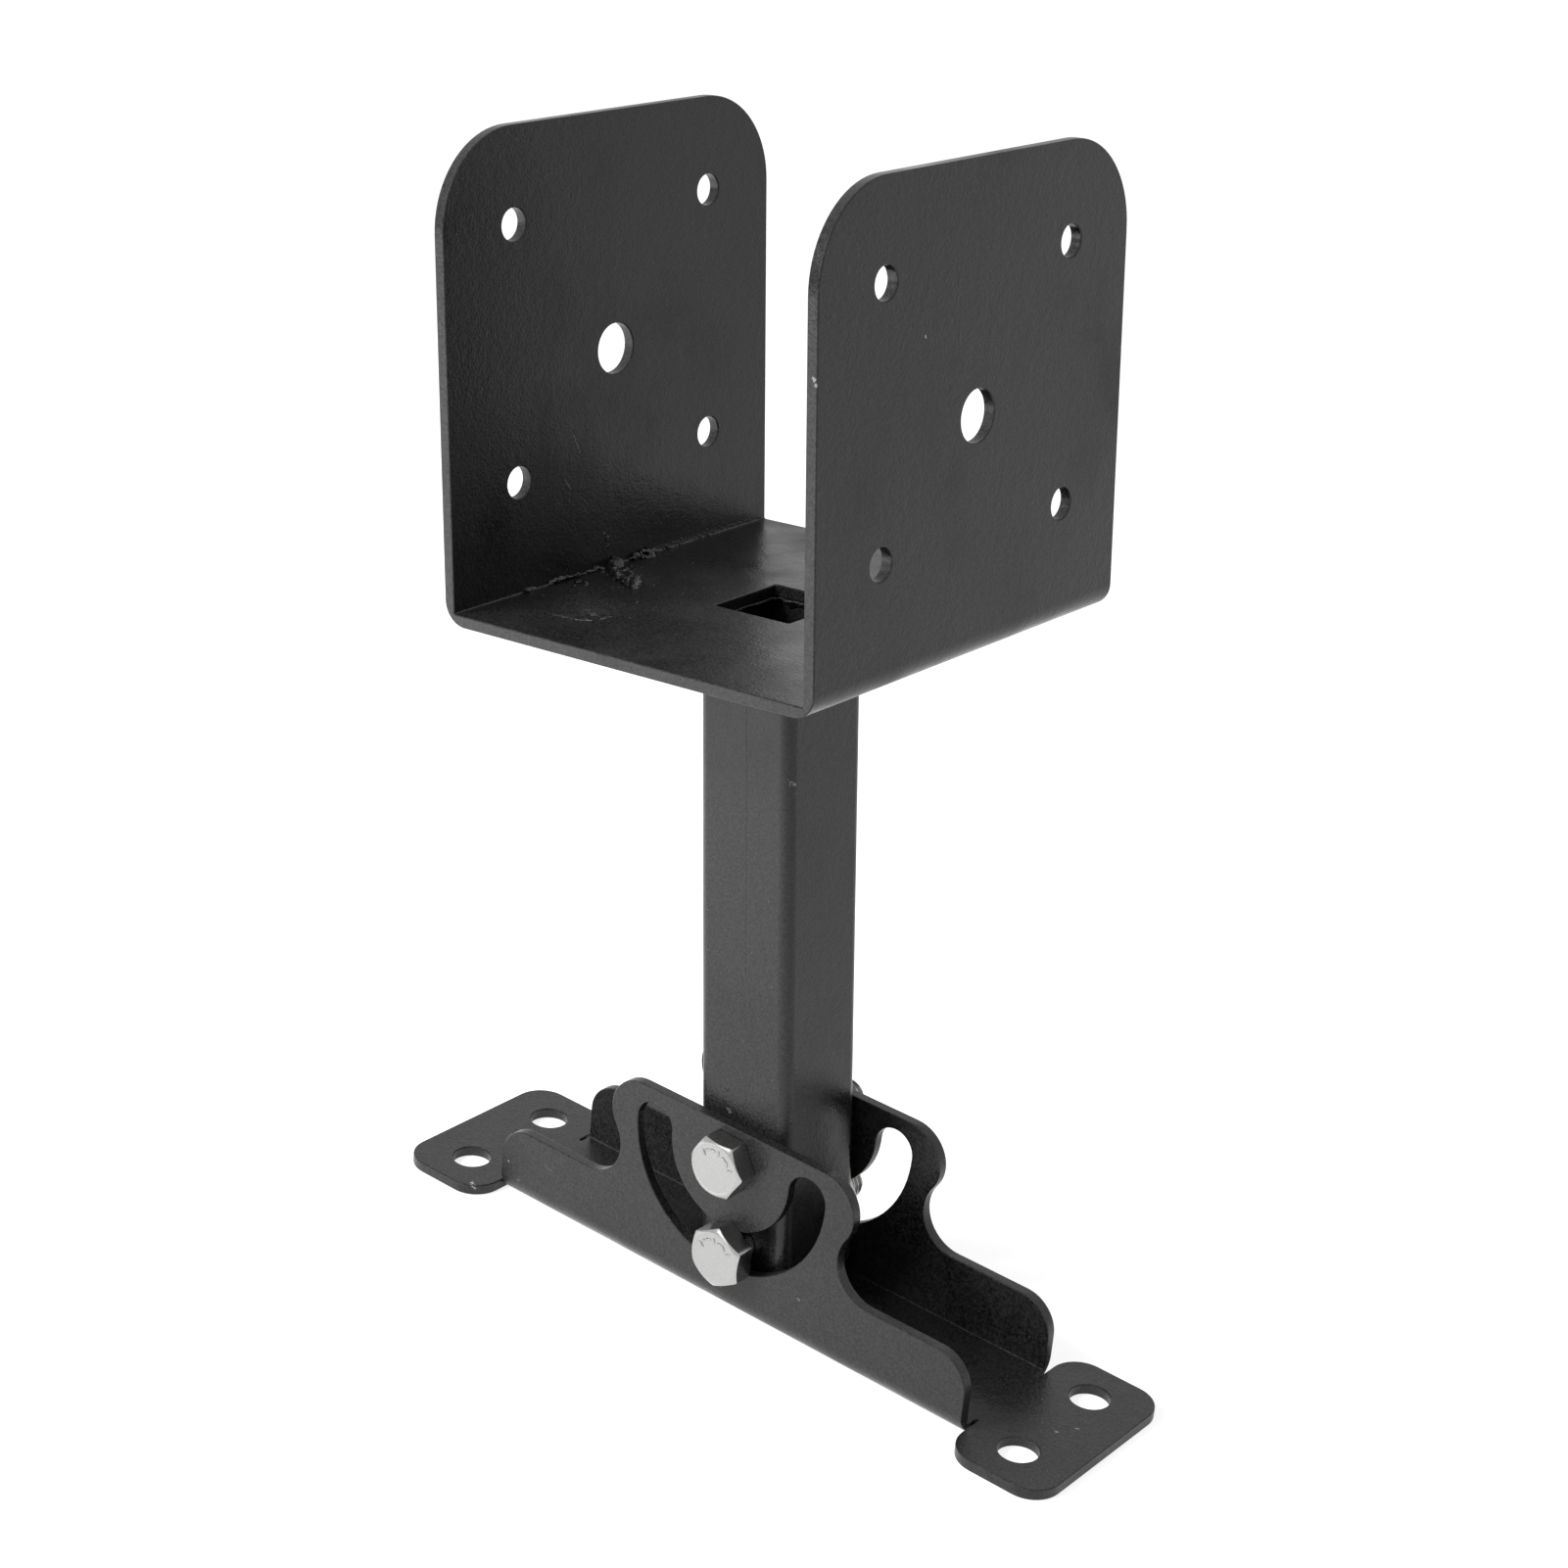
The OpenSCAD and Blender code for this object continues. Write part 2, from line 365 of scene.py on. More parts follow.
# A chipped corner of the left foot, and specks on the near flange, the right foot and the far flange
BASE_MARKS = (
    Mark((-71.6, -21.9, 2.5), (-69.2, -23.0, 1.7), 1.1, 0.3, 0.75, -0.1, 0.7),
    Mark((-70.4, -23.6, 1.2), (-68.9, -23.8, 0.6), 0.7, 0.22, 0.7, -0.06, 0.6),
    Mark((22.0, -16.6, 13.2), (22.5, -16.6, 13.0), 0.5, 0.12, 0.7, 0.05, 0.4),
    Mark((-22.2, -16.6, 31.9), (-21.9, -16.6, 31.7), 0.4, 0.3, 0.8, 0.0, 0.4),
    Mark((-53.8, -16.6, 13.2), (-51.6, -16.6, 12.5), 0.45, 0.06, 0.6, 0.04, 0.5),
    Mark((-65.2, -16.6, 9.3), (-65.1, -16.6, 9.2), 0.45, 0.2, 0.8, 0.04, 0.4),
    Mark((-61.8, -16.6, 5.6), (-61.6, -16.6, 5.5), 0.4, 0.16, 0.7, 0.04, 0.4),
    Mark((82.0, -2.6, 2.6), (82.3, -2.4, 2.6), 0.45, 0.22, 0.8, 0.05, 0.4),
    Mark((84.3, 1.4, 2.6), (84.9, 1.8, 2.6), 0.4, 0.18, 0.7, 0.05, 0.4),
    Mark((-38.0, 13.9, 14.0), (-30.0, 13.9, 13.6), 0.5, 0.02, 0.4, 0.03, 0.5),
)

# The tube's rolled seam down its near face, a nick on its corner and nibs in the coat
TUBE_MARKS = (
    Mark((1.2, -12.5, 120.0), (1.2, -12.5, 44.0), 0.42, 0.004, 0.9, -0.06, 0.5),
    Mark((1.2, -12.5, 44.0), (1.2, -12.5, -20.0), 0.3, 0.006, 0.6, -0.03, 0.6),
    Mark((12.2, -11.6, 89.2), (12.5, -10.9, 88.8), 1.2, 0.3, 0.8, 0.1, 0.5),
    Mark((12.5, -10.2, 86.6), (12.5, -9.9, 86.2), 0.6, 0.1, 0.5, 0.08, 0.4),
    Mark((-0.7, -12.5, 48.4), (-0.6, -12.5, 48.2), 0.9, 0.02, 0.5, 0.1, 0.3),
    Mark((-0.2, -12.5, 41.7), (-0.1, -12.5, 41.5), 0.7, 0.01, 0.6, 0.08, 0.3),
    Mark((-4.2, -12.5, 26.6), (-4.0, -12.5, 26.4), 0.9, 0.03, 0.4, 0.09, 0.4),
    Mark((-4.2, -12.5, 14.9), (-3.9, -12.5, 14.6), 1.1, 0.05, 0.4, 0.16, 0.4),
    Mark((-3.6, -12.5, 9.6), (-3.2, -12.5, 9.2), 1.2, 0.1, 0.5, 0.18, 0.4),
    Mark((7.3, -12.5, 61.8), (7.5, -12.5, 61.6), 0.6, 0.06, 0.4, 0.08, 0.3),
    Mark((12.5, -9.5, 23.7), (12.5, -9.3, 23.5), 0.9, 0.08, 0.4, 0.12, 0.4),
    Mark((12.5, -10.7, 12.5), (12.5, -10.5, 11.0), 0.8, 0.07, 0.4, 0.12, 0.5),
    Mark((12.5, 3.4, 22.6), (12.5, 3.6, 22.4), 0.5, 0.15, 0.6, 0.06, 0.3),
)

# Scratches inside the left wall, scars and haze on the floor, a painted highlight along the left bend, chips
# on the right wall
SADDLE_MARKS = (
    Mark((LEFT, -13.6, 153.8), (LEFT, -11.7, 149.6), 0.5, 0.1, 0.8, 0.08, 0.4),
    Mark((LEFT, -16.3, 144.5), (LEFT, -14.9, 142.6), 0.6, 0.1, 0.8, 0.08, 0.4),
    Mark((LEFT, -11.0, 138.6), (LEFT, -9.6, 136.4), 0.4, 0.01, 0.8, -0.06, 0.5),
    Mark((LEFT, 13.3, 148.6), (LEFT, 13.4, 146.6), 0.5, 0.008, 0.8, -0.06, 0.4),
    Mark((LEFT, -2.6, 163.3), (LEFT, -2.5, 163.1), 0.4, 0.12, 0.7, 0.05, 0.3),
    Mark((LEFT, -11.3, 140.3), (LEFT, -9.4, 138.3), 0.5, 0.008, 0.8, -0.06, 0.5),
    Mark((-30.6, -36.8, FLOOR), (-25.9, -36.4, FLOOR), 0.6, 0.09, 0.4, 0.03, 0.7),
    Mark((-24.5, -36.3, FLOOR), (-21.7, -34.8, FLOOR), 0.8, 0.16, 0.6, 0.05, 0.5),
    Mark((-20.9, -32.6, FLOOR), (-20.7, -30.4, FLOOR), 0.7, 0.12, 0.5, 0.05, 0.5),
    Mark((-27.6, -29.9, FLOOR), (-24.0, -31.6, FLOOR), 1.3, 0.1, 0.4, 0.05, 0.7),
    Mark((-38.0, -20.0, FLOOR), (-27.5, -29.0, FLOOR), 8.5, 0.05, 0.28, 0.03, 1.0),
    Mark((-38.5, -1.5, FLOOR), (-33.0, -5.5, FLOOR), 4.5, 0.06, 0.3, 0.03, 1.0),
    # Painted highlight: a lighter band along the left bend's inner radius, standing on a slight ridge
    Mark((LEFT + 0.2, 11.0, FLOOR + 0.3), (LEFT + 0.2, 49.5, FLOOR + 0.3), 1.7, 0.03, 0.7, 0.12, 0.5),
    Mark((RIGHT, -17.8, 188.6), (RIGHT, -17.6, 188.4), 0.6, 0.5, 0.9, 0.06, 0.3),
    Mark((RIGHT, -15.0, 196.5), (RIGHT, -15.3, 195.9), 0.5, 0.02, 0.8, -0.05, 0.3),
    Mark((RIGHT, -38.0, 128.6), (RIGHT, -36.8, 128.2), 0.5, 0.02, 0.6, -0.05, 0.5),
    Mark((47.6, -50.0, 186.0), (48.3, -50.0, 184.4), 0.7, 0.3, 0.6, -0.05, 0.6),
    Mark((48.6, 49.8, 176.0), (48.6, 50.0, 174.8), 0.6, 0.3, 0.6, -0.05, 0.6),
    Mark((47.2, -50.0, 121.0), (48.5, -49.7, 122.8), 0.8, 0.1, 0.6, -0.1, 0.9),
    Mark((45.8, -50.0, 122.9), (46.8, -50.0, 121.6), 0.5, 0.004, 0.9, -0.08, 0.6),
)


@dataclass(frozen=True)
class Finish:
    """A surface finish, which makes one material for each place that it is used in.

    Attributes:
        colour: Linear base colour.
        roughness: Middle roughness.
        specular: Specular IOR level.
        grain: Size of the grain in millimetres.
        depth: Height of the grain in millimetres.
        mottle: How much the colour and roughness vary.
        metallic: 0 for paint, 1 for bare metal.
        speck_share: Share of the places that hold a speck.
        speck_height: Height of the specks in millimetres.
    """

    colour: Point
    roughness: float
    specular: float
    grain: float
    depth: float
    mottle: float
    metallic: float = 0.0
    speck_share: float = 0.0
    speck_height: float = 0.0

    def material(
        self, name: str, effects: Effects, axes: Riser | None = None, marks: Sequence[Mark] = ()
    ) -> Material:
        """Make the material.

        Args:
            name: The material's name.
            effects: The shared node groups.
            axes: The riser's axes where the marks are given in them, or None for the frame's own.
            marks: The line marks on this piece.

        Returns:
            The material.
        """
        made = bpy.data.materials.new(name)
        made.use_nodes = True
        graph = Graph(made.node_tree)
        place = graph.add("TexCoord").outputs["Object"]
        if axes is not None:
            at, lean = (0.0, 0.0, axes.pivot_height * MM), (0.0, math.radians(-axes.lean), 0.0)
            moved = {"Vector": place, "Location": at, "Rotation": lean}
            place = graph.add("Mapping", {"vector_type": "TEXTURE"}, **moved).outputs[0]
        look = {"Colour": (*self.colour, 1.0), "Roughness": self.roughness, "Mottle": self.mottle}
        grain = graph.group(effects.grain, Vector=place, Grain=self.grain, Depth=self.depth, **look)
        colour, height = grain.outputs["Colour"], grain.outputs["Height"]
        if self.speck_share > 0.0:
            spread = {"Share": self.speck_share, "Spacing": SPECK_SPACING, "Radius": SPECK_RADIUS}
            mask = graph.group(effects.specks, Vector=place, **spread).outputs["Mask"]
            height = graph.math("MULTIPLY_ADD", mask, self.speck_height, height)
            # Painted glints: each speck is raised as a nib, and its colour is lightened towards a grey that
            # stands in for glints off the grain
            colour = graph.mix(graph.math("MULTIPLY", mask, SPECK_GLINT_STRENGTH), colour, grey(SPECK_GLINT_TONE))
        for mark in marks:
            start, end = Vector(mark.start) * MM, Vector(mark.end) * MM
            ends = {"Start": start, "End": end, "Width": mark.width, "Ragged": mark.ragged}
            mask = graph.group(effects.stroke, Vector=place, **ends).outputs["Mask"]
            colour = graph.mix(graph.math("MULTIPLY", mask, mark.strength), colour, grey(mark.tone))
            if mark.depth != 0.0:
                height = graph.math("MULTIPLY_ADD", mask, mark.depth, height)
        bump = graph.add("Bump", Height=height, Strength=1.0, Distance=MM)
        varied = {"Base_Color": colour, "Roughness": grain.outputs["Roughness"], "Normal": bump.outputs[0]}
        plain = {"Metallic": self.metallic, "Specular_IOR_Level": self.specular}
        shader = graph.add("BsdfPrincipled", **varied, **plain)
        graph.add("OutputMaterial", Surface=shader.outputs[0])
        return made


POWDER_COAT = Finish(
    (0.01, 0.01, 0.0103), roughness=0.33, specular=0.36, grain=0.62, depth=0.072, mottle=0.7,
    speck_share=0.3, speck_height=0.05,
)
WELD_COAT = Finish((0.018, 0.018, 0.0184), roughness=0.34, specular=0.5, grain=0.5, depth=0.03, mottle=0.4)
SPATTER_COAT = Finish((0.018, 0.018, 0.0184), roughness=0.32, specular=0.55, grain=1.1, depth=0.3, mottle=0.5)
ZINC_PLATE = Finish(
    (0.37, 0.37, 0.365), roughness=0.27, specular=0.5, grain=0.35, depth=0.0035, mottle=0.06, metallic=1.0
)


def add_object(name: str, data: bpy.types.ID) -> Object:
    """Make an object of some data and put it in the scene.

    Args:
        name: The object's name.
        data: Its mesh, lamp or camera data.

    Returns:
        The new object.
    """
    made = bpy.data.objects.new(name, data)
    bpy.context.scene.collection.objects.link(made)
    return made


def add_modifier(piece: Object, name: str, kind: str, **settings: object) -> None:
    """Give a piece a modifier.

    Args:
        piece: The piece.
        name: The modifier's name.
        kind: Its type, as Blender names it.
        **settings: Its settings by name.
    """
    made = piece.modifiers.new(name, kind)
    for key, value in settings.items():
        setattr(made, key, value)


def add_face_normals(piece: Object) -> None:
    """Let the large faces of a piece set the shading, so that they look flat."""
    add_modifier(piece, "flat_faces", "WEIGHTED_NORMAL", weight=60, keep_sharp=True)


def shade_smooth(mesh: bpy.types.Mesh) -> None:
    """Shade all faces of a mesh smooth."""
    mesh.polygons.foreach_set("use_smooth", [True] * len(mesh.polygons))


@dataclass
class Piece:
    """A piece that is made here, in millimetres and in axes of its own.

    Attributes:
        name: The piece's name.
        node: The CAD node that it stands for, or None where the CAD has none.
        body: The body that it rides on.
        slot: The record's material slot.
        points: The points of its mesh so far.
        faces: The faces of its mesh so far.
    """

    name: str
    node: str | None
    body: Body
    slot: Slot
    points: list[Vector] = field(default_factory=list, init=False)
    faces: list[tuple[int, ...]] = field(default_factory=list, init=False)

    def form(self) -> None:
        """Add the mesh's points and faces, which each kind of piece does in its own way."""
        raise NotImplementedError

    def refine(self, made: Object) -> None:
        """Add what the surface needs beyond its mesh."""

    def make(self, where: Matrix, material: Material) -> Object:
        """Make the piece, let it ride on its body and let it stand for its CAD node.

        Args:
            where: Matrix from the piece's own axes to the frame, in millimetres.
            material: Its material.

        Returns:
            The new object, with its origin at the frame's.
        """
        self.form()
        mesh = bpy.data.meshes.new(self.name)
        mesh.from_pydata([(where @ point) * MM for point in self.points], [], self.faces)
        mesh.validate()
        mesh.materials.append(material)
        shade_smooth(mesh)
        made = add_object(self.name, mesh)
        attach(made, self.body.value)
        self.refine(made)
        log.info("%s: %d faces on %s", self.name, len(mesh.polygons), self.body.value)
        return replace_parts(made, self.node) if self.node else made

    def rings(
        self,
        rings: Sequence[Sequence[Sequence[float]]],
        cap_first: bool = False,
        cap_last: bool = False,
        loop: bool = False,
    ) -> None:
        """Join closed rings of equal length with quads.

        Args:
            rings: The rings in order, each a list of points.
            cap_first: Whether the first ring is closed with a fan.
            cap_last: Whether the last ring is closed with a fan.
            loop: Whether the last ring is joined to the first.
        """
        base, rows, count = len(self.points), len(rings), len(rings[0])
        self.points.extend(Vector(point) for ring in rings for point in ring)
        for row in range(rows if loop else rows - 1):
            a, b = base + row * count, base + (row + 1) % rows * count
            for i in range(count):
                j = (i + 1) % count
                self.faces.append((a + i, a + j, b + j, b + i))
        for wanted, row, flip in ((cap_first, 0, True), (cap_last, rows - 1, False)):
            if not wanted:
                continue
            hub, first = len(self.points), base + row * count
            self.points.append(sum((Vector(point) for point in rings[row]), Vector()) / count)
            for i in range(count):
                near, far = first + i, first + (i + 1) % count
                self.faces.append((hub, far, near) if flip else (hub, near, far))

    def ellipsoid(
        self, centre: Vector, axes: Matrix, rows: int, rough: float = 0.0, seed: float = 0.0
    ) -> None:
        """Add a closed ellipsoid.

        Args:
            centre: Its middle.
            axes: Its three half axes as the columns of a 3 by 3 matrix.
            rows: Steps from pole to pole, and half the steps round it.
            rough: How uneven it is, as a share of its radius.
            seed: Where its unevenness is taken from.
        """
        rings = []
        for row in range(1, rows):
            tilt = math.pi * row / rows
            ring = []
            for i in range(2 * rows):
                a = FULL_TURN * i / (2 * rows)
                way = Vector((math.sin(tilt) * math.cos(a), math.sin(tilt) * math.sin(a), math.cos(tilt)))
                reach = 1.0 + rough * noise.fractal(way * 0.9 + Vector((seed, 0.0, 0.0)), 1.0, 2.0, 2)
                ring.append(centre + axes @ (way * reach))
            rings.append(ring[::-1])
        self.rings(rings, cap_first=True, cap_last=True)


@dataclass
class SheetMetal:
    """The CAD's folded sheets and its tube, with broken edges and their coat.

    Attributes:
        nodes: The frame's CAD objects by name.
        effects: The shared node groups.
        axes: The riser's own axes.
        edge: Width of the sheets' broken edges in millimetres.
        tube_edge: Width of the tube's broken edges in millimetres.
        bend_limit: Edges that turn by more than this many degrees are broken.
        flat_limit: Faces that turn by less than this many degrees are joined to one.
        join: Points closer than this are joined, in metres.
    """

    nodes: dict[str, Object]
    effects: Effects
    axes: Riser
    edge: float = 0.32
    tube_edge: float = 0.15
    bend_limit: float = 38.0
    flat_limit: float = 0.6
    join: float = 1e-6

    def dress(self, node: str, material: Material, edge: float) -> None:
        """Give a CAD solid its material and broken edges.

        Args:
            node: The CAD node.
            material: Its material.
            edge: Width of the broken edges in millimetres.
        """
        piece = self.nodes[node]
        piece.data.materials.clear()
        piece.data.materials.append(material)
        shade_smooth(piece.data)
        flat, bend = math.radians(self.flat_limit), math.radians(self.bend_limit)
        add_modifier(piece, "joined_corners", "WELD", merge_threshold=self.join)
        add_modifier(piece, "whole_faces", "DECIMATE", decimate_type="DISSOLVE", angle_limit=flat)
        form = {"segments": 3, "miter_outer": "MITER_ARC", "harden_normals": True, "use_clamp_overlap": False}
        limit = {"limit_method": "ANGLE", "angle_limit": bend}
        add_modifier(piece, "broken_edges", "BEVEL", width=edge * MM, **form, **limit)
        add_face_normals(piece)
        log.info("%s: dressed, edges broken %.2f mm", node, edge)

    def make(self) -> None:
        """Dress the base channel, the tube and the saddle."""
        for node, coat, axes, marks, edge in (
            ("base_channel", "coat_of_base", None, BASE_MARKS, self.edge),
            ("riser_tube", "coat_of_tube", self.axes, TUBE_MARKS, self.tube_edge),
            ("saddle", "coat_of_saddle", self.axes, SADDLE_MARKS, self.edge),
        ):
            self.dress(node, POWDER_COAT.material(coat, self.effects, axes, marks), edge)


@dataclass
class HexForm(Piece):
    """A hexagonal form round the Y axis, its seat at the origin and its outer face towards -Y.

    Attributes:
        turn: Angle of its first corner from +X towards +Z, in degrees.
        across_flats: Width between two opposite sides.
        height: Height from the seat to the outer face.
        crown: Radius of the circle where the chamfer meets the outer face.
        chamfer: Slope of the chamfer in degrees.
        corner_wear: How far the corners are rounded off.
        edge_in: Reach of the rounded edge in over the chamfer.
        edge_down: Its reach down the side.
        sides: Points in one ring.
        sharp: Edges that turn by more than this many degrees stay sharp.
    """

    turn: float
    across_flats: float = 13.0
    height: float = 5.3
    crown: float = 6.1
    chamfer: float = 33.0
    corner_wear: float = 0.1
    edge_in: float = 0.14
    edge_down: float = 0.12
    sides: int = 120
    sharp: float = 24.0

    def side_radius(self, angle: float) -> float:
        """Distance from the axis to the side, with the corners a little rounded.

        Args:
            angle: Angle round the axis in radians.

        Returns:
            The distance.
        """
        part = math.radians((math.degrees(angle) - self.turn) % 60.0 - 30.0)
        flat = self.across_flats / 2.0
        return min(flat / math.cos(part), flat / math.cos(math.radians(30.0)) - self.corner_wear)

    def ring(self, profile: Callable[[float], Pair]) -> list[Point]:
        """Make one ring of points round the form.

        Args:
            profile: Turns the side's radius into the ring's radius and its height above the seat.

        Returns:
            The ring's points.
        """
        ring = []
        for i in range(self.sides):
            angle = FULL_TURN * i / self.sides + math.radians(self.turn)
            radius, height = profile(self.side_radius(angle))
            ring.append((radius * math.cos(angle), -height, radius * math.sin(angle)))
        return ring

    def circles(self, *steps: Pair) -> list[list[Point]]:
        """Make round rings, each of one radius at one height."""
        return [self.ring(lambda _, step=step: step) for step in steps]

    def drop(self, radius: float) -> float:
        """How far the chamfer has dropped at a radius, which leaves an arched edge on each side."""
        return max(radius - self.crown, 0.0) * math.tan(math.radians(self.chamfer))

    def upper_side(self) -> list[list[Point]]:
        """Make the rings from the side up over the arched edge to the chamfer's inner circle.

        Returns:
            The rings in order.
        """
        top, crest = self.height, self.crown + 0.05
        return [
            self.ring(lambda side: (side, top - self.drop(side) - self.edge_down)),
            self.ring(lambda side: (side - 0.04, top - self.drop(side) - 0.03)),
            self.ring(lambda side: (side - self.edge_in, top - self.drop(side - self.edge_in))),
            *self.circles((crest, top - self.drop(crest)), (self.crown - 0.08, top)),
        ]

    def refine(self, made: Object) -> None:
        """Keep the edges sharp and the large faces flat."""
        made.data.set_sharp_from_angle(angle=math.radians(self.sharp))
        add_face_normals(made)


@dataclass
class HexNut(HexForm):
    """A thin hex nut with chamfers on both faces.

    Attributes:
        bore: Radius of its bore.
    """

    height: float = 4.0
    crown: float = 6.2
    chamfer: float = 30.0
    bore: float = 4.06

    def form(self) -> None:
        """Make the nut as one closed run of rings, from its seat over the sides and back through the bore."""
        mouth, sunk = self.bore + 0.45, 0.4
        rings = [
            *self.circles((mouth, SEAT_RELIEF), (self.crown - 0.1, SEAT_RELIEF)),
            self.ring(lambda side: (side - self.edge_in, self.drop(side - self.edge_in))),
            self.ring(lambda side: (side, self.drop(side) + self.edge_down)),
            *self.upper_side(),
            *self.circles((mouth, self.height), (self.bore, self.height - sunk), (self.bore, sunk)),
        ]
        self.rings(rings, loop=True)


@dataclass
class HexBolt(HexForm):
    """A fully threaded hex bolt, its head's underside at the origin and its thread towards +Y.

    Attributes:
        marks_from: Angle at which the forged ticks on the head start, in degrees.
        diameter: Outside diameter of the thread.
        length: Length under the head.
        pitch: Pitch of the thread.
        plain: Plain length under the head.
        bevel: Bevel at the thread's end.
    """

    marks_from: float = 20.0
    diameter: float = 8.0
    length: float = 44.0
    pitch: float = 1.25
    plain: float = 5.0
    bevel: float = 1.1

    def head(self) -> None:
        """Add the head: sides, chamfer and a face that is sunk a little inside its rim."""
        sunk_face = ((self.crown - 0.26, 0.01), (self.crown - 0.42, 0.09), (self.crown - 0.62, 0.12))
        rings = [
            *self.circles((self.diameter / 2.0, 0.0)),
            self.ring(lambda side: (side - 0.35, SEAT_RELIEF)),
            self.ring(lambda side: (side - 0.08, 0.06)),
            self.ring(lambda side: (side, 0.3)),
            *self.upper_side(),
            *self.circles(*((radius, self.height - depth) for radius, depth in sunk_face)),
            *self.circles((self.crown * 0.5, self.height - 0.13)),
        ]
        self.rings(rings, cap_last=True)

    def ticks(self) -> None:
        """Add plain forged ticks round the upper half of the head's face."""
        count, spacing, circle, sunk = 7, 20.0, 4.35, 0.16
        slants, half_width, half_height = (0.0, 64.0, 102.0), 0.32, 0.33
        chooser = random.Random(7)
        up = Vector((0.0, -1.0, 0.0))
        for i in range(count):
            angle = math.radians(self.marks_from + i * spacing + chooser.uniform(-3.0, 3.0))
            slant = angle + math.radians(slants[i % 3] + chooser.uniform(-12.0, 12.0))
            radius = circle + chooser.uniform(-0.15, 0.25)
            middle = Vector((math.cos(angle), 0.0, math.sin(angle))) * radius
            long = Vector((math.cos(slant), 0.0, math.sin(slant)))
            wide = up.cross(long)
            axes = (long * chooser.uniform(0.75, 1.05), wide * half_width, up * half_height)
            self.ellipsoid(middle + up * (self.height - sunk), Matrix(axes).transposed(), 8)

    def thread_radius(self, along: float, angle: float) -> float:
        """Distance from the axis to the thread's surface.

        Args:
            along: Distance from the head's underside.
            angle: Angle round the bolt.

        Returns:
            The radius, with the thread running out under the head and bevelled at its end.
        """
        relief, depth, root_flat, flank, run_out = 0.02, 0.6 * self.pitch, 0.14, 0.7, 1.5 * self.pitch
        crest = self.diameter / 2.0 - relief
        root = crest - depth
        phase = (along / self.pitch - angle / FULL_TURN) % 1.0
        away = abs(phase - 0.5) * 2.0
        lift = min(max((away - root_flat) / flank, 0.0), 1.0)
        fade = min(max((along - self.plain) / run_out, 0.0), 1.0)
        radius = crest - (crest - root) * (1.0 - lift) * fade
        end = crest - self.bevel + (self.length - along)
        return min(radius, end)

    def thread(self) -> None:
        """Add the threaded shank up to its bevelled end."""
        rings_per_pitch, sides = 12, 40
        steps = int(self.length / self.pitch * rings_per_pitch)
        rings = []
        for row in range(steps + 1):
            along = self.length * row / steps
            ring = []
            for i in range(sides):
                angle = FULL_TURN * i / sides
                radius = self.thread_radius(along, angle)
                ring.append((radius * math.cos(angle), along, radius * math.sin(angle)))
            rings.append(ring[::-1])
        self.rings(rings, cap_last=True)

    def form(self) -> None:
        """Make the bolt from its head, the ticks on it and the thread."""
        self.head()
        self.ticks()
        self.thread()


